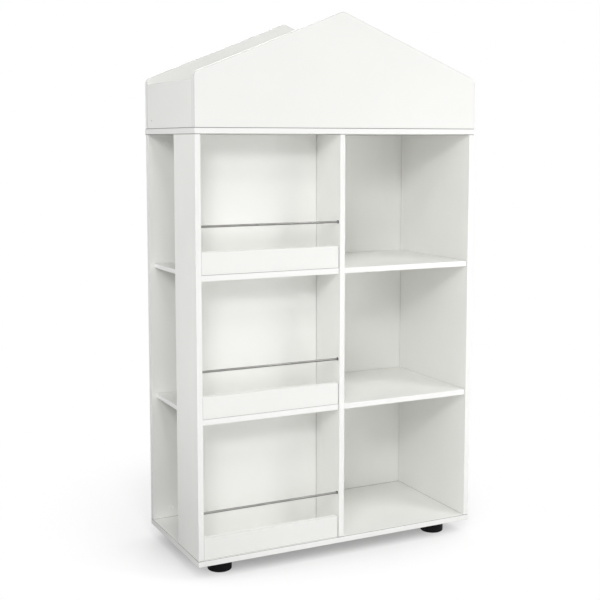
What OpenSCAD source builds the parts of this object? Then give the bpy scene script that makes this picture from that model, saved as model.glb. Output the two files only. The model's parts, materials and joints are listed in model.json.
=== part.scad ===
// House shaped bookcase: a white board carcass on four round feet, under an open roof box.
// The left column holds three shallow display bays in front and three compartments that
// open to the left side behind them. The right column holds three deep cubbies.
// Origin: floor level, middle of the footprint. +X right, +Y rear, +Z up. Millimetres.

/* [Carcass] */
// Overall width
case_w = 800; // [700:1:900]
// Depth from the front edges to the rear of the back panel
case_d = 360; // [320:1:420]
// Clear height of each of the three tiers
tier_h = 340; // [300:1:380]
// Thickness of the boards
board_t = 15; // [14.5:0.5:18]
// How far the top board stands out behind the back panel
top_overhang = 5; // [0:0.5:10]
// Rounding along the edges of the boards
edge_r = 1; // [0.5:0.1:1.5]
// How far the shelves lie behind the front edges of the uprights
shelf_recess = 4; // [2:0.5:8]

/* [Display bays] */
// Depth of the display bays, front edges to inner back panel
bay_d = 130; // [115:1:150]
// Height of the lip boards
lip_h = 57; // [40:1:75]
// Thickness of the lip boards
lip_t = 12; // [11:0.5:14]
// Rounding of the lips' upper corners
lip_corner_r = 5; // [2:0.5:10]
// Clearance at each end of a lip
lip_gap = 0.8; // [0.5:0.1:1]
// Diameter of the rails
rail_d = 6; // [5:0.5:7]
// Height of a rail's centre above its shelf
rail_h = 118; // [90:1:140]
// Distance of a rail's centre behind the front edges
rail_setback = 10; // [8:0.5:14]

/* [Side compartments] */
// Thickness of the side shelves
side_shelf_t = 12; // [11:0.5:14]
// How far the side shelves lie behind the left face
side_recess = 15; // [10:0.5:25]

/* [Roof box] */
// Height of the gables at the eaves
eave_h = 130; // [120:1:160]
// Height of the gables at the ridge point
ridge_h = 290; // [240:1:340]
// Rounding at the eaves
eave_r = 20; // [10:1:30]
// Rounding at the ridge point
ridge_r = 20; // [10:1:30]
// Height of the low side walls
wall_h = 115; // [90:1:120]
// Diameter of the pin hole low in the left wall
pin_d = 4; // [3:0.5:6]

/* [Feet] */
// Diameter of the feet
foot_d = 62; // [50:1:70]
// Height of the feet
foot_h = 35; // [25:1:45]
// Rounding round the foot's lower edge
foot_r = 3; // [1:0.5:5]
// Foot centre to the side of the case
foot_inset_x = 80; // [60:1:110]
// Foot centre to the front or rear of the case
foot_inset_y = 60; // [50:1:75]

/* [Fittings] */
// Diameter of the cam locks
cam_d = 15; // [13:0.5:16]
// Height of the cam locks
cam_h = 11; // [10:0.5:11.5]
// Cam centre to the joint it closes
cam_setback = 27; // [24:0.5:30]
// Diameter of the cover caps
cap_d = 17; // [16.5:0.5:20]
// Diameter of the cam bolts' shanks
bolt_d = 5; // [4.5:0.25:6]
// Diameter of the large dowels
dowel_d = 8; // [7:0.5:8.5]
// Length of the large dowels
dowel_l = 30; // [26:1:34]
// Diameter of the small dowels
pin_dowel_d = 6; // [5:0.5:6.5]
// Length of the small dowels
pin_dowel_l = 22; // [18:1:24]
// Diameter of the long screws
screw_d = 6; // [5:0.25:6.5]
// Length of the long screws
screw_l = 50; // [45:1:60]

/* [Hidden] */
$fn = 48;
fine_fn = 96;           // sides of the largest circles
BOARD = "white";

// Named clearances
fit = 0.1;              // round a dowel, bolt or screw in its hole
cam_fit = 0.25;         // round a cam lock in its recess
rail_fit = 0.1;         // round a rail in its socket
end_play = 0.5;         // left beyond the end of a dowel, bolt or screw
past = 1;               // how far a cutter runs past the face it opens

// Levels, from the floor
TIERS = [0, 1, 2];
SHELVES = [1, 2];
carcass_z = foot_h;                 // underside of the bottom board
floor_z = carcass_z + board_t;      // top face of the bottom board
ceiling_z = floor_z + len(TIERS) * tier_h + len(SHELVES) * board_t;
roof_z = ceiling_z + board_t;       // top face of the top board
function tier_z(k) = floor_z + k * (tier_h + board_t);   // floor of tier k, from 0
function tier_mid(k) = tier_z(k) + tier_h / 2;
function shelf_mid(k) = tier_z(k) - board_t / 2;         // middle of the shelf under tier k
function side_shelf_mid(k) = tier_z(k) - board_t + side_shelf_t / 2;

// Places across the width and the depth
left_x = -case_w / 2;
right_x = case_w / 2;
left_in_x = left_x + board_t;       // inner face of the left panel
right_in_x = right_x - board_t;     // inner face of the right panel
div_left_x = -board_t / 2;          // left face of the divider
div_right_x = board_t / 2;
front_y = -(case_d + top_overhang) / 2;
rear_y = front_y + case_d;
back_in_y = rear_y - board_t;       // front face of the back panel
bay_back_y = front_y + bay_d;       // front face of the inner back panel
side_front_y = bay_back_y + board_t;
shelf_y = front_y + shelf_recess;
gable_in_y = front_y + board_t;     // inner face of the front gable
bay_w = div_left_x - left_in_x;
cubby_w = right_in_x - div_right_x;

// ---------- Boards ----------

module rounded_rectangle(x, y, r) {
    difference() {
        square([x, y]);
        for (i = [0, 1], j = [0, 1])
            translate([i * x, j * y]) mirror([i, 0]) mirror([0, j])
                difference() {
                    translate([-past, -past]) square(r + past);
                    translate([r, r]) circle(r);
                }
    }
}

// A board from corner `from` to corner `to`, rounded along all twelve edges
module board(from, to) {
    size = to - from;
    translate(from)
        intersection() {
            linear_extrude(size.z) rounded_rectangle(size.x, size.y, edge_r);
            rotate([90, 0, 90]) linear_extrude(size.x) rounded_rectangle(size.y, size.z, edge_r);
            translate([0, size.y, 0]) rotate([90, 0, 0])
                linear_extrude(size.y) rounded_rectangle(size.x, size.z, edge_r);
        }
}

// ---------- Fittings ----------
// A fitting is a pair of lists: the point on the joint's plane, and the turn that brings
// local +Z into the board that holds the cam, the long end of a dowel or the screw's head.

module each_at(fittings) {
    for (f = fittings) translate(f[0]) rotate(f[1]) children();
}

// Turns: into the board above or below, and sideways into shelves, panels and roof walls
UP = [0, 0, 0];
DOWN = [0, 180, 0];
UP_REAR = [0, 0, 180];              // up, with the cam opening to the rear
REARWARD = [-90, 0, 0];
RIGHTWARD = [0, 90, 0];
LEFTWARD = [0, -90, 0];
SHELF_RIGHT = [90, 0, 90];          // sideways, with the cam opening downward
SHELF_LEFT = [90, 0, -90];
PANEL_RIGHT = [180, -90, 0];        // sideways, with the cam opening to the rear
PANEL_LEFT = [180, 90, 0];

cap_t = 0.8;                        // height of a cover cap's rim
cap_plug = 0.7;                     // depth of the plug behind the rim
cam_depth = cam_h + cap_plug + fit; // depth of a cam recess
bolt_in = 10;                       // length of a cam bolt in the board it is screwed into
bolt_head_d = bolt_d + 2;
bolt_head_h = 3;
cam_slot = [9, 1.4, 2];             // arms of the driver's cross: length, width, depth
cam_pocket_d = bolt_head_d + 1;

// Local frame: bolt along Z, cam opening towards -Y, its board centred on the bolt
module cam_recess() {
    translate([0, -board_t / 2 - past, cam_setback]) rotate([-90, 0, 0])
        cylinder(d = cam_d, h = cam_depth + past);
    translate([0, 0, -past]) cylinder(d = bolt_head_d + 2 * fit, h = cam_setback + past);
}

module bolt_hole() {
    translate([0, 0, -bolt_in - end_play]) cylinder(d = bolt_d + 2 * fit, h = bolt_in + end_play + past);
}

module cam_lock() {
    translate([0, -board_t / 2 + cap_plug, cam_setback]) rotate([-90, 0, 0])
        difference() {
            cylinder(d = cam_d - 2 * cam_fit, h = cam_h);
            for (turn = [0, 90]) rotate(turn)
                translate([-cam_slot.x / 2, -cam_slot.y / 2, -past]) cube(cam_slot + [0, 0, past]);
            translate([0, 0, board_t / 2 - cap_plug]) rotate([-90, 0, 0])
                translate([0, 0, -bolt_head_h]) cylinder(d = cam_pocket_d, h = cam_d);
        }
}

module cam_bolt() {
    translate([0, 0, -bolt_in]) cylinder(d = bolt_d, h = bolt_in + cam_setback);
    translate([0, 0, fit]) cylinder(d = bolt_head_d, h = bolt_head_h);
    translate([0, 0, cam_setback - bolt_head_h / 2]) cylinder(d = bolt_head_d, h = bolt_head_h);
}

module cam_cap() {
    translate([0, -board_t / 2, cam_setback]) rotate([-90, 0, 0]) {
        translate([0, 0, -cap_t]) cylinder(d = cap_d, h = cap_t);
        translate([0, 0, -cap_t / 2])
            cylinder(d = cam_d - 2 * cam_fit, h = cap_t / 2 + cap_plug - fit);
    }
}

// A dowel with `deep` of its length on the +Z side
module dowel(d, l, deep) {
    chamfer = d / 8;
    translate([0, 0, deep - l])
        rotate_extrude() polygon([
            [0, 0], [d / 2 - chamfer, 0], [d / 2, chamfer],
            [d / 2, l - chamfer], [d / 2 - chamfer, l], [0, l]
        ]);
}

module dowel_hole(d, l, deep) {
    translate([0, 0, deep - l - end_play]) cylinder(d = d + 2 * fit, h = l + 2 * end_play);
}

large_deep = dowel_l - 10;          // long end of a large dowel, in the edge of a board
small_deep = pin_dowel_l - 9;       // long end of a small dowel
module large_dowel() dowel(dowel_d, dowel_l, large_deep);
module large_dowel_hole() dowel_hole(dowel_d, dowel_l, large_deep);
module small_dowel() dowel(pin_dowel_d, pin_dowel_l, small_deep);
module small_dowel_hole() dowel_hole(pin_dowel_d, pin_dowel_l, small_deep);

// A long countersunk screw: its board lies from 0 to board_t, its point runs to -Z
screw_head_d = screw_d + 4;
screw_head_h = 3;
head_rim = 1;                       // straight rim of a countersunk head
screw_tip = 3;                      // length of the pointed end
socket_d = 4;                       // across the corners of the hexagon socket
socket_depth = 2;
head_sink = 0.3;                    // head below the board's face
module long_screw() {
    top = board_t - head_sink;
    translate([0, 0, top - screw_l])
        difference() {
            rotate_extrude() polygon([
                [0, 0], [screw_d / 3, screw_tip / 2], [screw_d / 2, screw_tip],
                [screw_d / 2, screw_l - screw_head_h], [screw_head_d / 2, screw_l - head_rim],
                [screw_head_d / 2, screw_l], [0, screw_l]
            ]);
            translate([0, 0, screw_l - socket_depth])
                cylinder(d = socket_d, h = socket_depth + past, $fn = 6);
        }
}

module long_screw_hole() {
    bore_d = screw_d + 2 * fit;
    head_d = screw_head_d + 2 * fit;
    seat = board_t - head_sink - screw_head_h - fit;
    translate([0, 0, board_t - head_sink - screw_l - end_play])
        cylinder(d = bore_d, h = screw_l + end_play + head_sink + past);
    translate([0, 0, seat])
        rotate_extrude() polygon([
            [0, 0], [bore_d / 2, 0], [head_d / 2, screw_head_h - head_rim],
            [head_d / 2, board_t - seat + past], [0, board_t - seat + past]
        ]);
}

// ---------- Where the fittings lie ----------

cap_inset = 54;                     // left cams of the back panel, from the side of the case
divider_cap_inset = 39;             // its other cams, from the divider
roof_cap_inset = 100;               // outer cams of the gables
SIDES = [-1, 1];
back_y = rear_y - board_t / 2;      // middle of the back panel and of the rear gable
gable_y = front_y + board_t / 2;
inner_y = bay_back_y + board_t / 2;
bay_mid_y = front_y + (bay_d + shelf_recess) / 2;
left_mid_x = left_x + board_t / 2;
right_mid_x = right_x - board_t / 2;

BACK_CAM_XS = [left_x + cap_inset, div_right_x + divider_cap_inset];
BACK_CAMS = [for (x = BACK_CAM_XS, end = [[floor_z, UP], [ceiling_z, DOWN]]) [[x, back_y, end[0]], end[1]]];
FRONT_GABLE_CAMS = [for (s = [-1, 0, 1]) [[s * (case_w / 2 - roof_cap_inset), gable_y, roof_z], UP_REAR]];
BACK_GABLE_CAMS = [for (s = [-1, 0, 1]) [[s * (case_w / 2 - roof_cap_inset), back_y, roof_z], UP]];
wall_cam_z = roof_z + wall_h / 2;
LEFT_WALL_CAMS = [
    [[left_mid_x, gable_in_y, wall_cam_z], [-90, 90, 0]],
    [[left_mid_x, back_in_y, wall_cam_z], [90, -90, 0]]
];
RIGHT_WALL_CAMS = [
    [[right_mid_x, gable_in_y, wall_cam_z], [-90, -90, 0]],
    [[right_mid_x, back_in_y, wall_cam_z], [90, 90, 0]]
];
shelf_cam_inset = 45;               // cams of the deep shelves, from their front and rear edges
CUBBY_YS = [shelf_y + shelf_cam_inset, back_in_y - shelf_cam_inset];
function cubby_cams(k) = [for (y = CUBBY_YS, end = [[div_right_x, SHELF_RIGHT], [right_in_x, SHELF_LEFT]])
    [[end[0], y, shelf_mid(k)], end[1]]];
function display_cams(k) = [for (end = [[left_in_x, SHELF_RIGHT], [div_left_x, SHELF_LEFT]])
    [[end[0], bay_mid_y, shelf_mid(k)], end[1]]];
INNER_CAMS = [for (k = TIERS, end = [[left_in_x, PANEL_RIGHT], [div_left_x, PANEL_LEFT]])
    [[end[0], inner_y, tier_mid(k)], end[1]]];
CUBBY_CAMS = [for (k = SHELVES) each cubby_cams(k)];
DISPLAY_CAMS = [for (k = SHELVES) each display_cams(k)];
GABLE_CAMS = concat(FRONT_GABLE_CAMS, BACK_GABLE_CAMS);
WALL_CAMS = concat(LEFT_WALL_CAMS, RIGHT_WALL_CAMS);
CAMS = concat(BACK_CAMS, GABLE_CAMS, WALL_CAMS, CUBBY_CAMS, DISPLAY_CAMS, INNER_CAMS);

display_dowel_step = 36;            // dowels in front of and behind a display shelf's cam
function display_dowels(k) = [for (s = SIDES, end = [[left_in_x, RIGHTWARD], [div_left_x, LEFTWARD]])
    [[end[0], bay_mid_y + s * display_dowel_step, shelf_mid(k)], end[1]]];
DISPLAY_DOWELS = [for (k = SHELVES) each display_dowels(k)];
BACK_DOWELS = [for (s = SIDES, end = [[floor_z, UP], [ceiling_z, DOWN]])
    [[s * case_w / 4, back_y, end[0]], end[1]]];
INNER_DOWELS = [for (s = SIDES, end = [[floor_z, UP], [ceiling_z, DOWN]])
    [[left_in_x + bay_w / 2 + s * bay_w / 4, inner_y, end[0]], end[1]]];
gable_dowel_shift = 30;             // keeps them clear of the back panel's dowels below
gable_dowel_x = case_w / 4 - gable_dowel_shift;
GABLE_DOWELS = [for (s = SIDES, y = [gable_y, back_y]) [[s * gable_dowel_x, y, roof_z], UP]];
wall_dowel_inset = 65;              // dowels under the roof walls, from their ends
WALL_YS = [gable_in_y + wall_dowel_inset, back_in_y - wall_dowel_inset];
WALL_DOWELS = [for (x = [left_mid_x, right_mid_x], y = WALL_YS) [[x, y, roof_z], UP]];
LARGE_DOWELS = concat(DISPLAY_DOWELS, BACK_DOWELS, INNER_DOWELS, GABLE_DOWELS, WALL_DOWELS);

lip_y = shelf_y + lip_t / 2;
function lip_dowels(k) = [for (s = SIDES) [[left_in_x + bay_w / 2 + s * bay_w / 3, lip_y, tier_z(k)], UP]];
side_mid_y = (side_front_y + back_in_y) / 2;
function side_dowels(k) = concat(
    [for (s = SIDES) [[left_in_x + bay_w / 2 + s * bay_w / 4, side_front_y, side_shelf_mid(k)], REARWARD]],
    [[[div_left_x, side_mid_y, side_shelf_mid(k)], LEFTWARD]]
);
LIP_DOWELS = [for (k = TIERS) each lip_dowels(k)];
SIDE_DOWELS = [for (k = SHELVES) each side_dowels(k)];
SMALL_DOWELS = concat(LIP_DOWELS, SIDE_DOWELS);

// Upright panels: screws through the bottom and top boards, from the outside
upright_screw_inset = 40;           // outer screws of the deep uprights, from their edges
left_screw_step = 37;               // screws of the left panel, from its middle
LEFT_YS = [for (s = SIDES) front_y + (bay_d + board_t) / 2 + s * left_screw_step];
DEEP_YS = [front_y + upright_screw_inset, front_y + (case_d - board_t) / 2, back_in_y - upright_screw_inset];
function upright_screws(x, ys) = [for (y = ys, end = [[floor_z, DOWN], [ceiling_z, UP]])
    [[x, y, end[0]], end[1]]];
LEFT_SCREWS = upright_screws(left_mid_x, LEFT_YS);
DIVIDER_SCREWS = upright_screws(0, DEEP_YS);
RIGHT_SCREWS = upright_screws(right_mid_x, DEEP_YS);
CARCASS_SCREWS = concat(LEFT_SCREWS, DIVIDER_SCREWS, RIGHT_SCREWS);

// Screws through the back panel, from the rear
REAR_UPRIGHT_SCREWS = [for (k = TIERS, x = [0, right_mid_x]) [[x, back_in_y, tier_mid(k)], REARWARD]];
function rear_shelf_screws(k) = [for (s = SIDES)
    [[div_right_x + cubby_w / 2 + s * cubby_w / 4, back_in_y, shelf_mid(k)], REARWARD]];
function rear_side_screws(k) = [for (s = SIDES)
    [[left_in_x + bay_w / 2 + s * bay_w / 4, back_in_y, side_shelf_mid(k)], REARWARD]];
REAR_SCREWS = concat(
    REAR_UPRIGHT_SCREWS,
    [for (k = SHELVES) each rear_shelf_screws(k)],
    [for (k = SHELVES) each rear_side_screws(k)]
);

// Feet
foot_screw_d = 5;
foot_screw_l = 26;
foot_head_d = 10;
foot_head_h = 3;
foot_head_chamfer = 1;
foot_tip = 3;                       // length of the screw's pointed end
foot_slot = [6, 1.2, 1.6];          // arms of the driver's cross: length, width, depth
foot_floor = 15;                    // solid height of a foot above its screw recess
foot_recess_d = 20;
foot_x = case_w / 2 - foot_inset_x;
foot_front_y = front_y + foot_inset_y;
foot_rear_y = rear_y - foot_inset_y;
FEET = [for (y = [foot_front_y, foot_rear_y], s = SIDES) [s * foot_x, y, 0]];

// Rails and their sockets
socket_wall = 0.6;
socket_in = 8;                      // depth of a socket in its board
sleeve_d = rail_d + 2 * (rail_fit + socket_wall);
socket_flange_rim = 0.5;            // how far the flange stands out round the sleeve
socket_flange_d = sleeve_d + 2 * socket_flange_rim;
socket_flange_t = 1.5;
rail_in = socket_in - 1;            // length of a rail inside a socket
rail_y = front_y + rail_setback;
function rail_ends(k) = [for (end = [[left_in_x, LEFTWARD], [div_left_x, RIGHTWARD]])
    [[end[0], rail_y, tier_z(k) + rail_h], end[1]]];
SOCKETS = [for (k = TIERS) each rail_ends(k)];

// ---------- Carcass ----------

module bottom_board() {
    color(BOARD)
        difference() {
            board([left_x, front_y, carcass_z], [right_x, rear_y, floor_z]);
            each_at(concat(LEFT_SCREWS, DIVIDER_SCREWS, RIGHT_SCREWS)) long_screw_hole();
            each_at(BACK_CAMS) bolt_hole();
            each_at(concat(BACK_DOWELS, INNER_DOWELS)) large_dowel_hole();
            each_at(lip_dowels(0)) small_dowel_hole();
            for (p = FEET) translate(p) foot_screw_hole();
        }
}

module top_board() {
    color(BOARD)
        difference() {
            board([left_x, front_y, ceiling_z], [right_x, rear_y + top_overhang, roof_z]);
            each_at(concat(LEFT_SCREWS, DIVIDER_SCREWS, RIGHT_SCREWS)) long_screw_hole();
            each_at(concat(BACK_CAMS, GABLE_CAMS)) bolt_hole();
            each_at(concat(BACK_DOWELS, INNER_DOWELS, GABLE_DOWELS, WALL_DOWELS)) large_dowel_hole();
        }
}

module left_front_panel() {
    color(BOARD)
        difference() {
            board([left_x, front_y, floor_z], [left_in_x, side_front_y, ceiling_z]);
            each_at(LEFT_SCREWS) long_screw_hole();
            each_at(concat(DISPLAY_CAMS, INNER_CAMS)) bolt_hole();
            each_at(DISPLAY_DOWELS) large_dowel_hole();
            each_at(SOCKETS) socket_hole();
        }
}

module center_divider() {
    color(BOARD)
        difference() {
            board([div_left_x, front_y, floor_z], [div_right_x, back_in_y, ceiling_z]);
            each_at(concat(DIVIDER_SCREWS, REAR_UPRIGHT_SCREWS)) long_screw_hole();
            each_at(concat(DISPLAY_CAMS, INNER_CAMS, CUBBY_CAMS)) bolt_hole();
            each_at(DISPLAY_DOWELS) large_dowel_hole();
            each_at(SIDE_DOWELS) small_dowel_hole();
            each_at(SOCKETS) socket_hole();
        }
}

module right_side_panel() {
    color(BOARD)
        difference() {
            board([right_in_x, front_y, floor_z], [right_x, back_in_y, ceiling_z]);
            each_at(concat(RIGHT_SCREWS, REAR_UPRIGHT_SCREWS)) long_screw_hole();
            each_at(CUBBY_CAMS) bolt_hole();
        }
}

module back_panel() {
    color(BOARD)
        difference() {
            board([left_x, back_in_y, floor_z], [right_x, rear_y, ceiling_z]);
            each_at(REAR_SCREWS) long_screw_hole();
            each_at(BACK_CAMS) cam_recess();
            each_at(BACK_DOWELS) large_dowel_hole();
        }
}

module inner_back_panel() {
    color(BOARD)
        difference() {
            board([left_in_x, bay_back_y, floor_z], [div_left_x, side_front_y, ceiling_z]);
            each_at(INNER_CAMS) cam_recess();
            each_at(INNER_DOWELS) large_dowel_hole();
            each_at(SIDE_DOWELS) small_dowel_hole();
        }
}

// ---------- Shelves ----------

module display_shelf(k) {
    color(BOARD)
        difference() {
            board([left_in_x, shelf_y, tier_z(k) - board_t], [div_left_x, bay_back_y, tier_z(k)]);
            each_at(display_cams(k)) cam_recess();
            each_at(display_dowels(k)) large_dowel_hole();
            each_at(lip_dowels(k)) small_dowel_hole();
        }
}

module side_shelf(k) {
    bottom = tier_z(k) - board_t;
    color(BOARD)
        difference() {
            board(
                [left_x + side_recess, side_front_y, bottom],
                [div_left_x, back_in_y, bottom + side_shelf_t]
            );
            each_at(side_dowels(k)) small_dowel_hole();
            each_at(rear_side_screws(k)) long_screw_hole();
        }
}

module right_shelf(k) {
    color(BOARD)
        difference() {
            board([div_right_x, shelf_y, tier_z(k) - board_t], [right_in_x, back_in_y, tier_z(k)]);
            each_at(cubby_cams(k)) cam_recess();
            each_at(rear_shelf_screws(k)) long_screw_hole();
        }
}

// ---------- Lips and rails of the display bays ----------

module lip_outline() {
    length = bay_w - 2 * lip_gap;
    difference() {
        square([length, lip_h]);
        for (i = [0, 1]) translate([i * length, lip_h]) mirror([i, 0])
            difference() {
                translate([-past, -lip_corner_r]) square(lip_corner_r + past);
                translate([lip_corner_r, -lip_corner_r]) circle(lip_corner_r);
            }
    }
}

module display_lip(k) {
    length = bay_w - 2 * lip_gap;
    color(BOARD)
        difference() {
            translate([left_in_x + lip_gap, shelf_y, tier_z(k)])
                intersection() {
                    translate([0, lip_t, 0]) rotate([90, 0, 0]) linear_extrude(lip_t) lip_outline();
                    rotate([90, 0, 90]) linear_extrude(length) rounded_rectangle(lip_t, lip_h, edge_r);
                }
            each_at(lip_dowels(k)) small_dowel_hole();
        }
}

module display_rail(k) {
    length = bay_w + 2 * rail_in;
    color("gray")
        translate([left_in_x - rail_in, rail_y, tier_z(k) + rail_h]) rotate([0, 90, 0])
            dowel(rail_d, length, length);
}

module socket_hole() {
    translate([0, 0, -past]) cylinder(d = sleeve_d + 2 * fit, h = socket_in + past + fit);
}

module rail_socket() {
    difference() {
        union() {
            translate([0, 0, -socket_flange_t]) cylinder(d = socket_flange_d, h = socket_flange_t);
            translate([0, 0, -socket_flange_t / 2])
                cylinder(d = sleeve_d, h = socket_in + socket_flange_t / 2);
        }
        translate([0, 0, -socket_flange_t - past])
            cylinder(d = rail_d + 2 * rail_fit, h = rail_in + socket_flange_t + past + rail_fit);
    }
}

module rail_sockets() {
    color("dimgray") each_at(SOCKETS) rail_socket();
}

// ---------- Roof box ----------

function unit(v) = v / norm(v);
function half_angle(p, a, b) = acos(unit(a - p) * unit(b - p)) / 2;
function tangent_point(p, a, b, r) = p + unit(a - p) * r / tan(half_angle(p, a, b));
function round_center(p, a, b, r) = p + unit(unit(a - p) + unit(b - p)) * r / sin(half_angle(p, a, b));

// House outline: straight sides, two slopes, with round eaves and a round ridge point
module house_outline() {
    foot = [case_w / 2, 0];
    eave = [case_w / 2, eave_h];
    ridge = [0, ridge_h];
    far_eave = [-case_w / 2, eave_h];
    right_points = [
        foot,
        tangent_point(eave, foot, ridge, eave_r),
        tangent_point(eave, ridge, foot, eave_r),
        tangent_point(ridge, eave, far_eave, ridge_r)
    ];
    polygon(concat(right_points, [for (i = [3:-1:0]) [-right_points[i].x, right_points[i].y]]));
    eave_center = round_center(eave, foot, ridge, eave_r);
    for (s = SIDES) translate([s * eave_center.x, eave_center.y]) circle(eave_r, $fn = fine_fn);
    translate(round_center(ridge, eave, far_eave, ridge_r)) circle(ridge_r, $fn = fine_fn);
}

// A gable with its front face at y
module gable(y) {
    translate([0, y + board_t, roof_z]) rotate([90, 0, 0]) linear_extrude(board_t) house_outline();
}

module roof_front_gable() {
    color(BOARD)
        difference() {
            gable(front_y);
            each_at(FRONT_GABLE_CAMS) cam_recess();
            each_at(WALL_CAMS) bolt_hole();
            each_at(GABLE_DOWELS) large_dowel_hole();
        }
}

module roof_back_gable() {
    color(BOARD)
        difference() {
            gable(back_in_y);
            each_at(BACK_GABLE_CAMS) cam_recess();
            each_at(WALL_CAMS) bolt_hole();
            each_at(GABLE_DOWELS) large_dowel_hole();
        }
}

pin_inset = 33;                     // pin hole of the left wall, from the rear gable
pin_rise = 21;                      // and from the top board
pin_depth = 5;
module roof_left_wall() {
    color(BOARD)
        difference() {
            board([left_x, gable_in_y, roof_z], [left_in_x, back_in_y, roof_z + wall_h]);
            each_at(LEFT_WALL_CAMS) cam_recess();
            each_at(WALL_DOWELS) large_dowel_hole();
            translate([left_x - past, back_in_y - pin_inset, roof_z + pin_rise]) rotate([0, 90, 0])
                cylinder(d = pin_d, h = pin_depth + past);
        }
}

module roof_right_wall() {
    color(BOARD)
        difference() {
            board([right_in_x, gable_in_y, roof_z], [right_x, back_in_y, roof_z + wall_h]);
            each_at(RIGHT_WALL_CAMS) cam_recess();
            each_at(WALL_DOWELS) large_dowel_hole();
        }
}

// ---------- Feet ----------

module foot_profile() {
    difference() {
        union() {
            square([foot_d / 2 - foot_r, foot_h]);
            translate([0, foot_r]) square([foot_d / 2, foot_h - foot_r]);
            translate([foot_d / 2 - foot_r, foot_r]) circle(foot_r);
        }
        translate([0, -past]) square([foot_recess_d / 2, foot_h - foot_floor + past]);
        square([foot_screw_d / 2 + fit, foot_h + past]);
    }
}

module foot(x, y) {
    color("#1c1c1e") translate([x, y, 0]) rotate_extrude($fn = fine_fn) foot_profile();
}

foot_screw_z = foot_h - foot_floor; // level of the screw head's seat
module foot_screw() {
    translate([0, 0, foot_screw_z])
        difference() {
            rotate_extrude() polygon([
                [0, -foot_head_h], [foot_head_d / 2 - foot_head_chamfer, -foot_head_h],
                [foot_head_d / 2, -foot_head_h + foot_head_chamfer],
                [foot_head_d / 2, 0], [foot_screw_d / 2, 0],
                [foot_screw_d / 2, foot_screw_l - foot_tip], [foot_screw_d / 5, foot_screw_l], [0, foot_screw_l]
            ]);
            for (turn = [0, 90]) rotate(turn)
                translate([-foot_slot.x / 2, -foot_slot.y / 2, -foot_head_h - past])
                    cube(foot_slot + [0, 0, past]);
        }
}

module foot_screw_hole() {
    translate([0, 0, foot_screw_z])
        cylinder(d = foot_screw_d + 2 * fit, h = foot_screw_l + end_play);
}

// ---------- Small parts ----------

module foot_screws() {
    color("silver") for (p = FEET) translate(p) foot_screw();
}

module cam_locks() {
    color("silver") each_at(CAMS) cam_lock();
}

module cam_bolts() {
    color("silver") each_at(CAMS) cam_bolt();
}

module cam_caps() {
    color("whitesmoke") each_at(CAMS) cam_cap();
}

module large_dowels() {
    color("burlywood") each_at(LARGE_DOWELS) large_dowel();
}

module small_dowels() {
    color("burlywood") each_at(SMALL_DOWELS) small_dowel();
}

module carcass_screws() {
    color("silver") each_at(CARCASS_SCREWS) long_screw();
}

module rear_screws() {
    color("silver") each_at(REAR_SCREWS) long_screw();
}

bottom_board();
top_board();
left_front_panel();
center_divider();
right_side_panel();
back_panel();
inner_back_panel();
display_shelf(1);  // display_shelf_lower
display_shelf(2);  // display_shelf_upper
side_shelf(1);  // side_shelf_lower
side_shelf(2);  // side_shelf_upper
right_shelf(1);  // right_shelf_lower
right_shelf(2);  // right_shelf_upper
display_lip(0);  // display_lip_lower
display_lip(1);  // display_lip_middle
display_lip(2);  // display_lip_upper
display_rail(0);  // display_rail_lower
display_rail(1);  // display_rail_middle
display_rail(2);  // display_rail_upper
rail_sockets();
roof_front_gable();
roof_back_gable();
roof_left_wall();
roof_right_wall();
foot(-foot_x, foot_front_y);  // foot_front_left
foot(foot_x, foot_front_y);  // foot_front_right
foot(-foot_x, foot_rear_y);  // foot_back_left
foot(foot_x, foot_rear_y);  // foot_back_right
foot_screws();
cam_locks();
cam_bolts();
cam_caps();
large_dowels();
small_dowels();
carcass_screws();
rear_screws();
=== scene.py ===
import json
import math

import bpy
from mathutils import Matrix, Vector


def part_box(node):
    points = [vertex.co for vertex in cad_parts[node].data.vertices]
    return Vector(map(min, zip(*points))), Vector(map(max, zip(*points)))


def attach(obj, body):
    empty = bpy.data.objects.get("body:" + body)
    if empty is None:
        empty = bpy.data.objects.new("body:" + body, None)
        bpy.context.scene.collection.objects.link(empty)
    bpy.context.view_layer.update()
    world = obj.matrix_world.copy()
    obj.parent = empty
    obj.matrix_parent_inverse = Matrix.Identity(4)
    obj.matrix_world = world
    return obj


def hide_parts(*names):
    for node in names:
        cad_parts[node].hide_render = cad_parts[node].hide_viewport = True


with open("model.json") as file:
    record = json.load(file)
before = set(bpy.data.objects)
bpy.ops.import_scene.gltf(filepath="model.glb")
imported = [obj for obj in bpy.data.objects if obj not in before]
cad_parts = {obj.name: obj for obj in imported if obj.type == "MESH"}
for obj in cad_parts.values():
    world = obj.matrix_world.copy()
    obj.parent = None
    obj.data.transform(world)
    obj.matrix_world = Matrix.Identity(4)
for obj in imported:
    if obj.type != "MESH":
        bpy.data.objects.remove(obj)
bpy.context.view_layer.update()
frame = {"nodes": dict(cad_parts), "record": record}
nodes = frame["nodes"]
slots = {part["node"]: part["material_slot"] for part in frame["record"]["subparts"]}

# ---------------------------------------------------------------- sizes, in metres
GABLE_HALF = 0.400       # half width of the house outline
EAVE_Z = 1.245           # where the slopes of the gables start
ROOF_SLOPE = 0.4         # rise over run of the gables
ARRIS = 0.0007           # rounding of a board's outer edges
BAND = 0.0008            # thickness of the edge band glued round each board
BAND_FADE = 0.0001       # width over which the band's tone gives way to the face's
PIN_HOLE = (-0.400, 0.1295, 1.136)
PIN_HOLE_DEPTH = (0.0002, 0.0006)   # bare chipboard starts at the first depth and is full by the second
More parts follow.
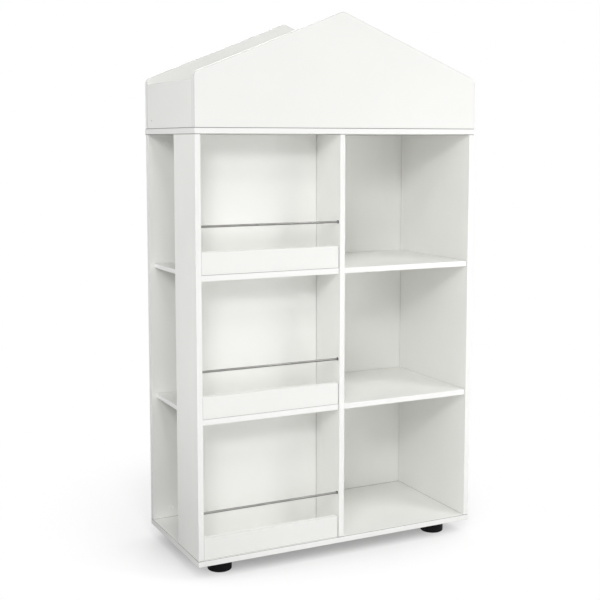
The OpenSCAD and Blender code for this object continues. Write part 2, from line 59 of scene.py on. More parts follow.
# The next four are full out to the first distance and gone by the second
PIN_HOLE_RIM = (0.0022, 0.0025)     # the chipboard, measured from the hole's axis
SEAM_WIDTH = (0.00006, 0.00016)     # glue line of an edge band
CORNER_SHADE_WIDTH = (0.0003, 0.0009)     # painted shade along a free outer corner
JOINT_SHADE_WIDTH = (0.0005, 0.0012)      # painted shade in the crack where a board meets another
WELD = 0.00001           # points nearer than this are one
SAME = 0.000001          # sizes nearer than this are equal

# ---------------------------------------------------------------- colours
LAMINATE = (0.938, 0.939, 0.913, 1)
BANDING = (0.911, 0.913, 0.894, 1)
CHIPBOARD = (0.36, 0.25, 0.15, 1)
RAIL_GREY = (0.27, 0.27, 0.26, 1)
SOCKET_GREY = (0.035, 0.035, 0.038, 1)
FOOT_BLACK = (0.006, 0.006, 0.0075, 1)
ZINC = (0.60, 0.60, 0.61, 1)
CAP_WHITE = (0.965, 0.967, 0.945, 1)
BEECH = (0.62, 0.42, 0.24, 1)
# Tones on the boards, as shares of the laminate's own
PRESSED_TONE = 0.985     # darkest drift of a face
SEAM_TONE = 0.72         # glue line of an edge band
CORNER_SHADE_TONE = 0.80       # painted shade along a free outer corner
GABLE_SHADE_TONE = 0.45        # the same painted shade round the gables, darker
JOINT_SHADE_TONE = 0.22        # painted shade in the crack at a joint
FRONT_SHADE_TONE = 0.936       # painted shade: the boards that face the viewer and the lamps are made a shade greyer, to hold down the extra light they catch
FRONT_SHADED_BOARDS = ("roof_front_gable", "display_lip_lower", "display_lip_middle", "display_lip_upper")

NOISE_SPAN = (0.3, 0.7)  # a noise texture's values lie mostly between these


# ---------------------------------------------------------------- shader building
def node(tree, kind, place, **settings):
    made = tree.nodes.new(kind)
    made.location = place
    for key, value in settings.items():
        setattr(made, key, value)
    return made


def join(tree, source, target):
    tree.links.new(source, target)


# Gives a socket a plain value, or joins another node's output to it
def feed(tree, value, socket):
    if isinstance(value, (int, float, tuple)):
        socket.default_value = value
    else:
        join(tree, value, socket)


def math_node(tree, operation, place, *values):
    made = node(tree, "ShaderNodeMath", place, operation=operation)
    for value, socket in zip(values, made.inputs):
        feed(tree, value, socket)
    return made.outputs[0]


def vector_node(tree, operation, place, *values, output="Vector"):
    made = node(tree, "ShaderNodeVectorMath", place, operation=operation)
    for value, socket in zip(values, made.inputs):
        feed(tree, value, socket)
    return made.outputs[output]


def ramp(tree, place, value, start, end, low=0.0, high=1.0):
    made = node(tree, "ShaderNodeMapRange", place, interpolation_type="SMOOTHSTEP")
    join(tree, value, made.inputs["Value"])
    made.inputs["From Min"].default_value = start
    made.inputs["From Max"].default_value = end
    made.inputs["To Min"].default_value = low
    made.inputs["To Max"].default_value = high
    return made.outputs["Result"]


# Mask that is full out to the first distance and gone by the second
def line_mask(tree, place, distance, full, gone):
    return ramp(tree, place, distance, full, gone, low=1.0, high=0.0)


def noise(tree, place, spot, scale, detail):
    made = node(tree, "ShaderNodeTexNoise", place)
    join(tree, spot, made.inputs["Vector"])
    feed(tree, scale, made.inputs["Scale"])
    made.inputs["Detail"].default_value = detail
    return made.outputs["Fac"]


def object_place(tree, place):
    return node(tree, "ShaderNodeTexCoord", place).outputs["Object"]


def split(tree, place, vector):
    made = node(tree, "ShaderNodeSeparateXYZ", place)
    join(tree, vector, made.inputs[0])
    return [made.outputs[axis] for axis in "XYZ"]


# Least of a vector's three parts
def least(tree, place, vector):
    x, y, z = split(tree, place, vector)
    lower = math_node(tree, "MINIMUM", (place[0] + 200, place[1]), x, y)
    return math_node(tree, "MINIMUM", (place[0] + 400, place[1]), lower, z)


def mix_colour(tree, place, amount, first, second):
    made = node(tree, "ShaderNodeMix", place, data_type="RGBA")
    for socket, value in ((0, amount), (6, first), (7, second)):
        feed(tree, value, made.inputs[socket])
    return made.outputs[2]


def shade(colour, factor):
    return tuple(c * factor for c in colour[:3]) + (1,)


def group(name, inputs, outputs):
    tree = bpy.data.node_groups.new(name, "ShaderNodeTree")
    for label, kind, value in inputs:
        socket = tree.interface.new_socket(label, in_out="INPUT", socket_type=kind)
        socket.default_value = value
    for label, kind in outputs:
        tree.interface.new_socket(label, in_out="OUTPUT", socket_type=kind)
    start = node(tree, "NodeGroupInput", (-1200, 0))
    end = node(tree, "NodeGroupOutput", (900, 0))
    return tree, start.outputs, end.inputs


def use_group(tree, which, place, **values):
    made = node(tree, "ShaderNodeGroup", place)
    made.node_tree = which
    for label, value in values.items():
        made.inputs[label.replace("_", " ")].default_value = value
    return made.outputs


# Fine moulded or pressed texture: a height and a slow drift in tone
def make_fine_texture():
    tree, given, result = group(
        "fine_texture",
        [("Grain", "NodeSocketFloat", 1400.0), ("Drift", "NodeSocketFloat", 6.0)],
        [("Height", "NodeSocketFloat"), ("Tone", "NodeSocketFloat")],
    )
    swell_share = 0.5
    spot = object_place(tree, (-1000, 200))
    grain = noise(tree, (-600, 300), spot, scale=given["Grain"], detail=2.0)
    swell = noise(tree, (-600, 0), spot, scale=42.0, detail=2.0)
    drift = noise(tree, (-600, -300), spot, scale=given["Drift"], detail=3.0)
    join(tree, math_node(tree, "MULTIPLY_ADD", (-200, 200), swell, swell_share, grain), result["Height"])
    join(tree, ramp(tree, (-200, -300), drift, *NOISE_SPAN), result["Tone"])
    return tree


# Masks of a board's edge band, its glue line, and the painted shade along its free corners and in the cracks
# at its joints.
# A 1 added along an axis takes that axis out of the search for the nearest side.
def make_board_edge():
    tree, given, result = group(
        "board_edge",
        [
            ("Low", "NodeSocketVector", (0, 0, 0)),
            ("High", "NodeSocketVector", (1, 1, 1)),
            ("Thin", "NodeSocketVector", (1, 0, 0)),
            ("Gable", "NodeSocketFloat", 0.0),
            ("Free Low", "NodeSocketVector", (1, 1, 1)),
            ("Free High", "NodeSocketVector", (1, 1, 1)),
        ],
        [(label, "NodeSocketFloat") for label in ("Band", "Seam", "Corner_Shade", "Joint_Shade")],
    )
    # Distance from the nearest side, along the board's two broad directions
    spot = object_place(tree, (-1200, 300))
    from_low = vector_node(tree, "SUBTRACT", (-900, 300), spot, given["Low"])
    from_high = vector_node(tree, "SUBTRACT", (-900, 100), given["High"], spot)
    nearer = vector_node(tree, "MINIMUM", (-700, 200), from_low, from_high)
    side = least(tree, (-300, 200), vector_node(tree, "ADD", (-500, 200), nearer, given["Thin"]))
    # The slopes of a gable are sides too
    x, y, z = split(tree, (-900, -200), spot)
    out = math_node(tree, "ABSOLUTE", (-700, -200), x)
    roof = math_node(tree, "MULTIPLY_ADD", (-500, -200), out, -ROOF_SLOPE, EAVE_Z + ROOF_SLOPE * GABLE_HALF)
    below = math_node(tree, "SUBTRACT", (-300, -200), roof, z)
    below = math_node(tree, "DIVIDE", (-100, -200), below, math.hypot(1, ROOF_SLOPE))
    flat = math_node(tree, "SUBTRACT", (-300, -400), 1.0, given["Gable"])
    below = math_node(tree, "ADD", (100, -200), below, flat)
    side = math_node(tree, "MINIMUM", (300, 200), side, below)
    join(tree, line_mask(tree, (500, 300), side, BAND, BAND + BAND_FADE), result["Band"])
    off = math_node(tree, "SUBTRACT", (500, 0), side, BAND)
    off = math_node(tree, "ABSOLUTE", (600, 0), off)
    join(tree, line_mask(tree, (700, 0), off, *SEAM_WIDTH), result["Seam"])
    # The thin way through the board, and from it how near a spot is to an outer corner, where shade is
    # painted
    through = vector_node(tree, "DOT_PRODUCT", (-500, 500), nearer, given["Thin"], output="Value")
    corner = math_node(tree, "MAXIMUM", (500, 500), side, through)
    join(tree, line_mask(tree, (700, 400), corner, *CORNER_SHADE_WIDTH), result["Corner_Shade"])
    # How near a spot is to a side that meets another board, unless it lies in that side; shade is painted in
    # that crack.
    # A face lies in a side where its normal plus the slack comes to a whole 1.
    slack = (0.1, 0.1, 0.1)
    met_low = vector_node(tree, "ADD", (-700, 900), from_low, given["Free Low"])
    met_high = vector_node(tree, "ADD", (-700, 700), from_high, given["Free High"])
    met = vector_node(tree, "MINIMUM", (-500, 800), met_low, met_high)
    normal = node(tree, "ShaderNodeNewGeometry", (-1200, 1000)).outputs["Normal"]
    normal = vector_node(tree, "ABSOLUTE", (-900, 1000), normal)
    normal = vector_node(tree, "ADD", (-700, 1100), normal, slack)
    own_side = vector_node(tree, "FLOOR", (-500, 1000), normal)
    crack = least(tree, (-100, 900), vector_node(tree, "ADD", (-300, 900), met, own_side))
    join(tree, line_mask(tree, (700, 700), crack, *JOINT_SHADE_WIDTH), result["Joint_Shade"])
    return tree


FINE_TEXTURE = make_fine_texture()
BOARD_EDGE = make_board_edge()


# ---------------------------------------------------------------- finishes
def new_material(name):
    made = bpy.data.materials.new(name)
    made.use_nodes = True
    tree = made.node_tree
    shader = tree.nodes["Principled BSDF"]
    shader.location = (600, 0)
    tree.nodes["Material Output"].location = (900, 0)
    return made, tree, shader.inputs


# Colour that drifts down to a darker share of itself
def drifting(tree, place, tone, colour, darkest):
    return mix_colour(tree, place, tone, shade(colour, darkest), colour)


# Roughness that follows a mask from one value to another
def roughen(tree, surface, mask, rough, span=(0.0, 1.0)):
    join(tree, ramp(tree, (0, 0), mask, *span, *rough), surface["Roughness"])


# Fine relief, its depth in metres
def emboss(tree, surface, height, strength, depth):
    made = node(tree, "ShaderNodeBump", (300, -200))
    join(tree, height, made.inputs["Height"])
    made.inputs["Strength"].default_value = strength
    made.inputs["Distance"].default_value = depth
    join(tree, made.outputs["Normal"], surface["Normal"])


# Sides at which a board meets others, by the start of its name
MET = {
    "bottom_board": "+z", "top_board": "-z +z", "left_front_panel": "-z +z", "center_divider": "-z +z +y",
    "right_side_panel": "-z +z +y", "back_panel": "-z +z", "inner_back_panel": "-x +x -z +z",
    "display_shelf": "-x +x +y", "side_shelf": "+x -y +y", "right_shelf": "-x +x +y",
    "display_lip": "-x +x -z", "roof_": "-z",
}


# For each axis, 1 where the board's lower or upper side is free, and 0 where it meets another board
def free_sides(board, sign):
    met = next(sides for start, sides in MET.items() if board.startswith(start))
    return tuple(0.0 if sign + axis in met else 1.0 for axis in "xyz")


def thin_axis(size):
    return min(range(3), key=lambda i: size[i])


# White laminate on one board: fine pearl pressing, edge bands, their glue lines, and painted shade along the
# free corners and in the cracks at joints
def laminate_for(board):
    low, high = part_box(board)
    thin = [0.0, 0.0, 0.0]
    thin[thin_axis([high[i] - low[i] for i in range(3)])] = 1.0
    gable = "gable" in board
    made, tree, surface = new_material("laminate_" + board)
    fine = use_group(tree, FINE_TEXTURE, (-700, 0), Grain=1500.0, Drift=5.0)
    edge = use_group(
        tree, BOARD_EDGE, (-700, -300),
        Low=tuple(low), High=tuple(high), Thin=tuple(thin), Gable=float(gable),
        Free_Low=free_sides(board, "-"), Free_High=free_sides(board, "+"),
    )
    # Painted shade: the front boards get a greyer laminate to offset the light they catch
    white = shade(LAMINATE, FRONT_SHADE_TONE) if board in FRONT_SHADED_BOARDS else LAMINATE
    colour = drifting(tree, (-400, 300), fine["Tone"], white, PRESSED_TONE)
    # The corner and gable lines and the joint cracks are painted shade laid over the laminate
    marks_and_painted_shade = {
        "Band": BANDING,
        "Seam": shade(LAMINATE, SEAM_TONE),
        "Corner_Shade": shade(LAMINATE, GABLE_SHADE_TONE if gable else CORNER_SHADE_TONE),
        "Joint_Shade": shade(LAMINATE, JOINT_SHADE_TONE),
    }
    for step, (mask, tint) in enumerate(marks_and_painted_shade.items()):
        colour = mix_colour(tree, (160 * step - 200, 200), edge[mask], colour, tint)
    if board == "roof_left_wall":
        colour = bored(tree, colour)
    join(tree, colour, surface["Base Color"])
    roughen(tree, surface, fine["Tone"], rough=(0.40, 0.46))
    height = math_node(tree, "SUBTRACT", (0, -200), fine["Height"], edge["Seam"])
    emboss(tree, surface, height, strength=0.12, depth=0.0001)
    surface["Specular IOR Level"].default_value = 0.45
    return made


# Bare chipboard inside the pin hole
def bored(tree, colour):
    hole_x, hole_y, hole_z = PIN_HOLE
    full, gone = PIN_HOLE_RIM
    start, deep = PIN_HOLE_DEPTH
    spot = object_place(tree, (-700, 700))
    x, y, z = split(tree, (-500, 700), spot)
    across = math_node(tree, "SUBTRACT", (-300, 800), y, hole_y)
    across = math_node(tree, "MULTIPLY", (-100, 800), across, across)
    up = math_node(tree, "SUBTRACT", (-300, 600), z, hole_z)
    from_axis = math_node(tree, "MULTIPLY_ADD", (-100, 600), up, up, across)
    near = line_mask(tree, (100, 700), from_axis, full ** 2, gone ** 2)
    sunk = ramp(tree, (100, 500), x, hole_x + start, hole_x + deep)
    inside = math_node(tree, "MULTIPLY", (300, 600), near, sunk)
    chips = node(tree, "ShaderNodeTexVoronoi", (-100, 1000))
    join(tree, spot, chips.inputs["Vector"])
    chips.inputs["Scale"].default_value = 900.0
    wood = mix_colour(tree, (100, 1000), chips.outputs["Distance"], CHIPBOARD, shade(CHIPBOARD, factor=0.5))
    return mix_colour(tree, (450, 500), inside, colour, wood)


# Brushed bar: streaks along its length
def rail_metal():
    made, tree, surface = new_material("rail_metal")
    drawn_out = node(tree, "ShaderNodeMapping", (-700, 0))
    join(tree, object_place(tree, (-900, 0)), drawn_out.inputs["Vector"])
    drawn_out.inputs["Scale"].default_value = (12.0, 2200.0, 2200.0)
    streaks = noise(tree, (-500, 0), drawn_out.outputs["Vector"], scale=1.0, detail=3.0)
    fine = use_group(tree, FINE_TEXTURE, (-700, -300), Grain=700.0, Drift=18.0)
    join(tree, drifting(tree, (-200, 200), fine["Tone"], RAIL_GREY, darkest=0.9), surface["Base Color"])
    surface["Metallic"].default_value = 1.0
    roughen(tree, surface, streaks, rough=(0.22, 0.38), span=NOISE_SPAN)
    emboss(tree, surface, streaks, strength=0.15, depth=0.00005)
    return made


# Moulded plastic
def plastic(name, colour, rough, grain, relief, gloss=0.5, darkest=0.9):
    made, tree, surface = new_material(name)
    fine = use_group(tree, FINE_TEXTURE, (-700, 0), Grain=grain, Drift=25.0)
    join(tree, drifting(tree, (-200, 200), fine["Tone"], colour, darkest), surface["Base Color"])
    roughen(tree, surface, fine["Tone"], rough)
    emboss(tree, surface, fine["Height"], strength=relief, depth=0.0001)
    surface["Specular IOR Level"].default_value = gloss
    return made


# Zinc plated steel
def plated_steel():
    made, tree, surface = new_material("plated_steel")
    fine = use_group(tree, FINE_TEXTURE, (-700, 0), Grain=900.0, Drift=160.0)
    join(tree, drifting(tree, (-200, 200), fine["Tone"], ZINC, darkest=0.85), surface["Base Color"])
    surface["Metallic"].default_value = 1.0
    roughen(tree, surface, fine["Tone"], rough=(0.28, 0.42))
    emboss(tree, surface, fine["Height"], strength=0.1, depth=0.00005)
    return made


# Bare beech with short dark flecks
def beech():
    made, tree, surface = new_material("beech")
    fleck_span = (0.55, 0.68)
    flecks = noise(tree, (-500, 0), object_place(tree, (-900, 0)), scale=420.0, detail=4.0)
    fine = use_group(tree, FINE_TEXTURE, (-700, -300), Grain=1800.0, Drift=60.0)
    plain = drifting(tree, (-300, 200), fine["Tone"], BEECH, darkest=0.85)
    dark = ramp(tree, (-300, 0), flecks, *fleck_span)
    join(tree, mix_colour(tree, (-100, 200), dark, plain, shade(BEECH, factor=0.6)), surface["Base Color"])
    surface["Roughness"].default_value = 0.65
    emboss(tree, surface, fine["Height"], strength=0.2, depth=0.0001)
    return made


FINISHES = {
    "rail_metal": rail_metal(),
    "socket_plastic": plastic(
        "socket_plastic", SOCKET_GREY, rough=(0.45, 0.51), grain=1600.0, relief=0.15,
    ),
    "foot_plastic": plastic(
        "foot_plastic", FOOT_BLACK, rough=(0.42, 0.48), grain=1100.0, relief=0.25, gloss=0.15,
    ),
    "fitting_steel": plated_steel(),
    "cap_plastic": plastic(
        "cap_plastic", CAP_WHITE, rough=(0.35, 0.41), grain=1800.0, relief=0.08, darkest=0.985,
    ),
    "dowel_wood": beech(),
}
for name, slot in slots.items():
    if slot != "white_board":
        for holder in nodes[name].material_slots:
            holder.material = FINISHES[slot]


# ---------------------------------------------------------------- making pieces
def only(piece):
    bpy.ops.object.select_all(action="DESELECT")
    piece.select_set(True)
    bpy.context.view_layer.objects.active = piece


def edit(mode="VERT"):
    bpy.ops.object.mode_set(mode="EDIT")
    bpy.ops.mesh.select_mode(type=mode)


def leave():
    bpy.ops.object.mode_set(mode="OBJECT")


# Piece made of a mesh, in the scene, with nothing else selected
def place(name, mesh):
    piece = bpy.data.objects.new(name, mesh)
    bpy.context.scene.collection.objects.link(piece)
    only(piece)
    return piece


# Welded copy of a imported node
def welded(name, node_name):
    piece = place(name, nodes[node_name].data.copy())
    edit()
    bpy.ops.mesh.select_all(action="SELECT")
    bpy.ops.mesh.remove_doubles(threshold=WELD)
    leave()
    return piece


def stand_for(piece, node_name, finish):
    piece.data.materials.clear()
    piece.data.materials.append(finish)
    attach(piece, "root")
    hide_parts(node_name)


# Soft shading across edges that turn by less than an angle in degrees, with the broad faces kept flat
def smooth(piece, angle):
    only(piece)
    bpy.ops.object.shade_smooth_by_angle(angle=math.radians(angle))
    even = piece.modifiers.new("even", "WEIGHTED_NORMAL")
    even.keep_sharp = True
    bpy.ops.object.modifier_apply(modifier=even.name)


# ---------------------------------------------------------------- boards
# The long outer corners of a board: edges of its broad faces with the whole outline on one side of them
def outer_corners(mesh, thin):
    across, along = [i for i in range(3) if i != thin]
    spots = [v.co for v in mesh.vertices]
    low = min(c[thin] for c in spots)
    high = max(c[thin] for c in spots)
    outline = {(round(c[across], 6), round(c[along], 6)) for c in spots}
    found = []
    for edge in mesh.edges:
        a, b = (spots[i] for i in edge.vertices)
        if abs(a[thin] - b[thin]) > SAME or min(a[thin] - low, high - a[thin]) > SAME:
            continue
        run = b[across] - a[across]
        rise = b[along] - a[along]
        length = math.hypot(run, rise)
        sides = [((p[0] - a[across]) * rise - (p[1] - a[along]) * run) / length for p in outline]
        if min(sides) > -2 * SAME or max(sides) < 2 * SAME:
            found.append(edge.index)
    return found


def rounded_board(name):
    board = welded(name + "_board", name)
    edit("EDGE")
    bpy.ops.mesh.select_all(action="SELECT")
    bpy.ops.mesh.dissolve_limited(angle_limit=math.radians(0.3))
    bpy.ops.mesh.select_all(action="DESELECT")
    leave()
    for index in outer_corners(board.data, thin_axis(board.dimensions)):
        board.data.edges[index].select = True
    edit("EDGE")
    bpy.ops.mesh.bevel(offset=ARRIS, segments=3, profile=0.5, affect="EDGES")
    leave()
    smooth(board, angle=40)
    return board


for name, slot in slots.items():
    if slot == "white_board":
        stand_for(rounded_board(name), name, laminate_for(name))


# ---------------------------------------------------------------- turned pieces
# A profile lists the radius and height of each ring, in metres. This is a round stretch of one,
# between two angles in degrees.
def round_stretch(centre, reach, first, last, steps):
    angles = [math.radians(first + (last - first) * step / steps) for step in range(steps + 1)]
    return [(centre[0] + reach[0] * math.cos(a), centre[1] + reach[1] * math.sin(a)) for a in angles]


# One ring drawn out and in along a profile
def turned(name, profile, steps):
    radius, height = profile[0]
    bpy.ops.object.select_all(action="DESELECT")
    bpy.ops.mesh.primitive_circle_add(vertices=steps, radius=radius, location=(0, 0, height))
    piece = bpy.context.object
    piece.name = name
    bpy.ops.object.transform_apply(location=True, rotation=True, scale=True)
    edit()
    bpy.ops.mesh.select_all(action="SELECT")
    for (r0, z0), (r1, z1) in zip(profile, profile[1:]):
        bpy.ops.mesh.extrude_region_move(TRANSFORM_OT_translate={"value": (0, 0, z1 - z0)})
        bpy.ops.transform.resize(value=(r1 / r0, r1 / r0, 1), center_override=(0, 0, 0))
    return piece


# Caps both open ends, or joins the last ring to the first, and turns the faces outward
def closed(piece, joined=False):
    if joined:
        bpy.ops.mesh.select_non_manifold(extend=False)
        bpy.ops.mesh.bridge_edge_loops()
    else:
        bpy.ops.mesh.select_all(action="SELECT")
        bpy.ops.mesh.fill_holes(sides=0)
    bpy.ops.mesh.select_all(action="SELECT")
    bpy.ops.mesh.normals_make_consistent(inside=False)
    leave()
    smooth(piece, angle=30)


# Where the separate solids of a node sit: origin on the board's face, Z out of it
def seats(node_name):
    welded("loose", node_name)
    edit()
    bpy.ops.mesh.select_all(action="SELECT")
    bpy.ops.mesh.separate(type="LOOSE")
    leave()
    found = []
    for part in list(bpy.context.selected_objects):
        spots = [v.co.copy() for v in part.data.vertices]
        low = Vector([min(c[i] for c in spots) for i in range(3)])
        high = Vector([max(c[i] for c in spots) for i in range(3)])
        # A round piece is as wide as it is deep, so its axis is the one whose size differs
        span = high - low
        middle = sorted(span)[1]
        axis = max(range(3), key=lambda i: abs(span[i] - middle))
        # Its widest ring belongs to its flange, which lies at the end that faces out
        centre = (low + high) / 2
        reach = [((c - centre).length_squared - (c[axis] - centre[axis]) ** 2) ** 0.5 for c in spots]
        widest = 0.97 * max(reach)
        rim = [c[axis] for c, r in zip(spots, reach) if r > widest]
        out = 1 if max(rim) > high[axis] - WELD else -1
        centre[axis] = min(rim) if out > 0 else max(rim)
        away = Vector([out if i == axis else 0 for i in range(3)])
        found.append(Matrix.Translation(centre) @ away.to_track_quat("Z", "Y").to_matrix().to_4x4())
        bpy.data.objects.remove(part)
    return sorted(found, key=lambda m: tuple(round(v, 4) for v in m.translation))


# Copies of one piece on every seat of a node, each with its own mesh
def repeat(piece, node_name, name):
    for number, seat in enumerate(seats(node_name), 1):
        mesh = piece.data.copy()
        mesh.transform(seat)
        stand_for(place("%s_%02d" % (name, number), mesh), node_name, FINISHES[slots[node_name]])
    bpy.data.objects.remove(piece)


# Cover cap: a button in a shallow dish, a raised ring round it, and a notch to prise it off
CAP_PROFILE = [
    (0.0006, 0.00062), (0.0015, 0.00062), (0.0019, 0.00045), (0.0022, -0.00008), (0.0040, -0.00008),
    (0.0043, 0.00002), (0.0047, 0.00066), (0.0052, 0.00080),
    *round_stretch(centre=(0.0072, 0.00004), reach=(0.0013, 0.00076), first=90, last=0, steps=4),
    (0.0085, 0.0), (0.00725, 0.0), (0.00725, -0.0005), (0.0071, -0.0006), (0.0006, -0.0006),
]
# The notch presses in what lies farther out than the first, within a half width and above a height
NOTCH_FROM = 0.0080
NOTCH_HALF = 0.0013
NOTCH_BOTTOM = 0.0001
NOTCH_DEPTH = 0.0007
cap = turned("cover_cap", CAP_PROFILE, steps=48)
leave()
for spot in cap.data.vertices:
    spot.select = spot.co.x < -NOTCH_FROM and abs(spot.co.y) < NOTCH_HALF and spot.co.z > NOTCH_BOTTOM
edit()
bpy.ops.transform.translate(value=(NOTCH_DEPTH, 0, 0))
closed(cap)
repeat(cap, "cam_caps", "cover_cap")

# Rail socket: a flange with a rounded rim and a chamfered mouth
SOCKET_PROFILE = [
    (0.0005, -0.0071), (0.0031, -0.0071), (0.0031, 0.0012), (0.0034, 0.0015),
    *round_stretch(centre=(0.0038, 0.0010), reach=(0.0004, 0.0005), first=90, last=0, steps=3),
    (0.0042, 0.0001), (0.0041, 0.0), (0.0037, 0.0), (0.0037, -0.0077), (0.0034, -0.0080), (0.0005, -0.0080),
]
socket = turned("rail_socket", SOCKET_PROFILE, steps=48)
closed(socket)
repeat(socket, "rail_sockets", "rail_socket")

# Foot: a shallow moat underneath, rounded rims, a parting groove and the screw's recess
FOOT_PROFILE = [
    (0.0104, 0.0), (0.0160, 0.0), (0.0163, 0.0007), (0.0237, 0.0007), (0.0240, 0.0),
    *round_stretch(centre=(0.0280, 0.0030), reach=(0.0030, 0.0030), first=-90, last=0, steps=4),
    (0.0310, 0.0108), (0.03075, 0.0111), (0.03075, 0.0114), (0.0310, 0.0117),
    *round_stretch(centre=(0.0304, 0.0343), reach=(0.0006, 0.0007), first=0, last=90, steps=2),
    (0.0026, 0.0350), (0.0026, 0.0200), (0.0100, 0.0200), (0.0100, 0.0004),
]
foot = turned("foot", FOOT_PROFILE, steps=96)
closed(foot, joined=True)
for corner in ("front_left", "front_right", "back_left", "back_right"):
    low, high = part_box("foot_" + corner)
    mesh = foot.data.copy()
    mesh.transform(Matrix.Translation(((low[0] + high[0]) / 2, (low[1] + high[1]) / 2, 0)))
    stand_for(place("turned_foot_" + corner, mesh), "foot_" + corner, FINISHES["foot_plastic"])
bpy.data.objects.remove(foot)

bpy.ops.object.select_all(action="DESELECT")

# ---------------------------------------------------------------- floor, light, camera
FLOOR_SIZE = 60
FLOOR_TONE = 0.70        # colour of the floor that the camera sees
FLOOR_GLOW = 0.55        # light that it gives off besides
NOOK_REACH = 0.70        # how far from the carcass the contact shadow deepens
NOOK_TONE = 0.50         # share of both that is left in the deepest nook
WHITE_MIDDLE = (0, 0.25, 0)         # the floor fades to plain white round this place,
WHITE_REACH = (0.40, 0.80)          # between these radii
BOUNCE = 0.80            # how much light the floor throws back up
BOUNCE_LEFT = 0.25       # painted shade: the same, made less on the left where the shadow falls:
LEFT_MIDDLE = (-0.85, 0.25, 0)      # round this place,
LEFT_REACH = (0.40, 0.85)           # full out to the first radius and gone by the second
AMBIENT = 0.29           # strength of the light from all round
MIDDLE = (0, 0, 0.70)    # middle of the bookcase
# Name, azimuth from the front and elevation in degrees, distance, size, watts, and the place it shines at
LAMPS = [
    ("softbox_left", -38, 22, 4.0, 1.0, 28.0, MIDDLE),
    ("softbox_left_near", -30, 25, 4.0, 0.6, 16.7, MIDDLE),
    ("softbox_left_high", -21, 45, 4.0, 1.0, 26.7, MIDDLE),
    ("softbox_high", 38, 50, 4.0, 0.7, 19.5, MIDDLE),
    ("side_card", -80, 0, 2.0, 0.8, 4.0, (0, 0, 0.45)),
    ("side_card_high", -97, 0, 2.0, 0.8, 4.8, (0, 0, 0.85)),
    ("softbox_right", 45, 25, 2.0, 0.8, 3.5, (0, 0, 0.60)),
    ("bay_card", 30, 10, 1.3, 0.7, 2.7, (0.2, 0, 0.45)),
    ("low_card", -10, 5, 1.3, 0.6, 1.3, (0.2, 0, 0.30)),
    ("softbox_back", 165, 25, 4.0, 1.5, 30.0, MIDDLE),
]
CAMERA_PLACE = (-1.3433, -2.6522, 1.0815)
CAMERA_DOWN = 6.01       # degrees
CAMERA_TURN = -26.33     # degrees, negative to the right
CAMERA_LENS = 66.324     # millimetres, as the sensor's width is
CAMERA_SENSOR = 36
CAMERA_SHIFT = -0.07     # share of the picture's width


def mix_shaders(tree, place, amount, first, second):
    made = node(tree, "ShaderNodeMixShader", place)
    for value, socket in zip((amount, first, second), made.inputs):
        join(tree, value, socket)
    return made.outputs[0]


def white_floor():
    made = bpy.data.materials.new("studio_floor")
    made.use_nodes = True
    tree = made.node_tree
    tree.nodes.clear()
    spot = object_place(tree, (-600, 800))
    # What the light meets
    around = vector_node(tree, "DISTANCE", (-400, 0), spot, LEFT_MIDDLE, output="Value")
    plain = node(tree, "ShaderNodeBsdfDiffuse", (300, 0))
    # Painted shade: the floor's colour is darker round the left place, where the shadow falls
    join(tree, ramp(tree, (0, 0), around, *LEFT_REACH, BOUNCE_LEFT, BOUNCE), plain.inputs["Color"])
    # What the camera sees: the same floor lifted to white, darker close under the carcass
    nook = node(tree, "ShaderNodeAmbientOcclusion", (-600, 500), samples=12)
    nook.inputs["Distance"].default_value = NOOK_REACH
    dark = math_node(tree, "MULTIPLY_ADD", (-400, 500), nook.outputs["AO"], 1 - NOOK_TONE, NOOK_TONE)
    lit = node(tree, "ShaderNodeBsdfDiffuse", (0, 500))
    join(tree, math_node(tree, "MULTIPLY", (-200, 500), dark, FLOOR_TONE), lit.inputs["Color"])
    glow = node(tree, "ShaderNodeEmission", (0, 300))
    join(tree, math_node(tree, "MULTIPLY", (-200, 300), dark, FLOOR_GLOW), glow.inputs["Strength"])
    near = node(tree, "ShaderNodeAddShader", (200, 400))
    join(tree, lit.outputs[0], near.inputs[0])
    join(tree, glow.outputs[0], near.inputs[1])
    white = node(tree, "ShaderNodeEmission", (200, 600))
    reach = vector_node(tree, "DISTANCE", (-400, 800), spot, WHITE_MIDDLE, output="Value")
    far = ramp(tree, (-200, 800), reach, *WHITE_REACH)
    sight = mix_shaders(tree, (400, 500), far, near.outputs[0], white.outputs[0])
    seen = node(tree, "ShaderNodeLightPath", (400, 800)).outputs["Is Camera Ray"]
    end = node(tree, "ShaderNodeOutputMaterial", (900, 200))
    join(tree, mix_shaders(tree, (650, 200), seen, plain.outputs[0], sight), end.inputs["Surface"])
    return made


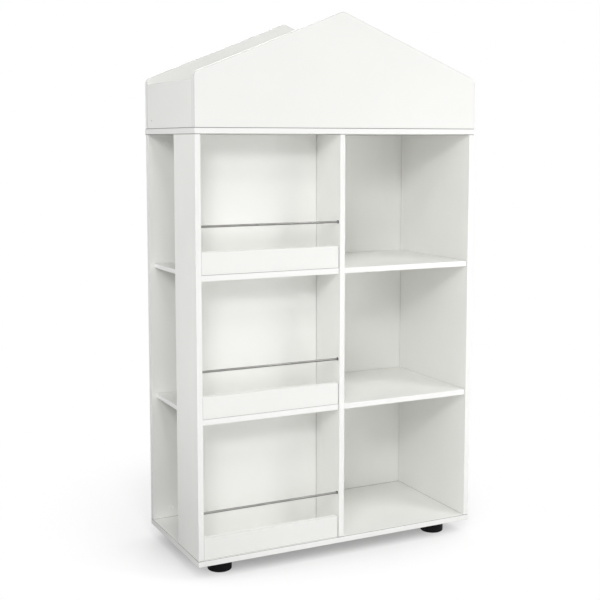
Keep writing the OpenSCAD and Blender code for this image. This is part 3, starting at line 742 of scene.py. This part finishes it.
# Dim light from all round, which the camera and reflections see as white
def studio_world():
    world = bpy.data.worlds.new("studio")
    world.use_nodes = True
    tree = world.node_tree
    tree.nodes.clear()
    seen = node(tree, "ShaderNodeLightPath", (-800, 200)).outputs
    direct = math_node(tree, "MAXIMUM", (-600, 200), seen["Is Camera Ray"], seen["Is Glossy Ray"])
    direct = math_node(tree, "MAXIMUM", (-400, 200), direct, seen["Is Transmission Ray"])
    dim = node(tree, "ShaderNodeBackground", (-200, 0))
    dim.inputs["Strength"].default_value = AMBIENT
    bright = node(tree, "ShaderNodeBackground", (-200, -200))
    bright.inputs["Color"].default_value = (1, 1, 1, 1)
    bright.inputs["Strength"].default_value = 1.0
    end = node(tree, "ShaderNodeOutputWorld", (200, 100))
    join(tree, mix_shaders(tree, (0, 100), direct, dim.outputs[0], bright.outputs[0]), end.inputs["Surface"])
    bpy.context.scene.world = world


def softbox(name, azimuth, elevation, distance, size, watts, aim):
    lamp = bpy.data.lights.new(name, "AREA")
    lamp.shape = "DISK"
    lamp.size = size
    lamp.energy = watts
    holder = bpy.data.objects.new(name, lamp)
    bpy.context.scene.collection.objects.link(holder)
    a = math.radians(azimuth)
    e = math.radians(elevation)
    away = Vector((math.sin(a) * math.cos(e), -math.cos(a) * math.cos(e), math.sin(e)))
    holder.location = Vector(aim) + away * distance
    holder.rotation_euler = away.to_track_quat("Z", "Y").to_euler()


studio_world()
for lamp in LAMPS:
    softbox(*lamp)

bpy.ops.mesh.primitive_plane_add(size=FLOOR_SIZE, location=(0, 0, 0))
floor = bpy.context.object
floor.name = "studio_floor"
floor.data.materials.append(white_floor())

camera_data = bpy.data.cameras.new("camera")
camera = bpy.data.objects.new("camera", camera_data)
bpy.context.scene.collection.objects.link(camera)
camera_data.lens = CAMERA_LENS
camera_data.sensor_width = CAMERA_SENSOR
camera_data.shift_y = CAMERA_SHIFT
camera_data.clip_start = 0.1
camera_data.clip_end = 100
camera.location = CAMERA_PLACE
camera.rotation_euler = (math.radians(90 - CAMERA_DOWN), 0, math.radians(CAMERA_TURN))
bpy.context.scene.camera = camera

bpy.context.scene.view_settings.view_transform = "Standard"
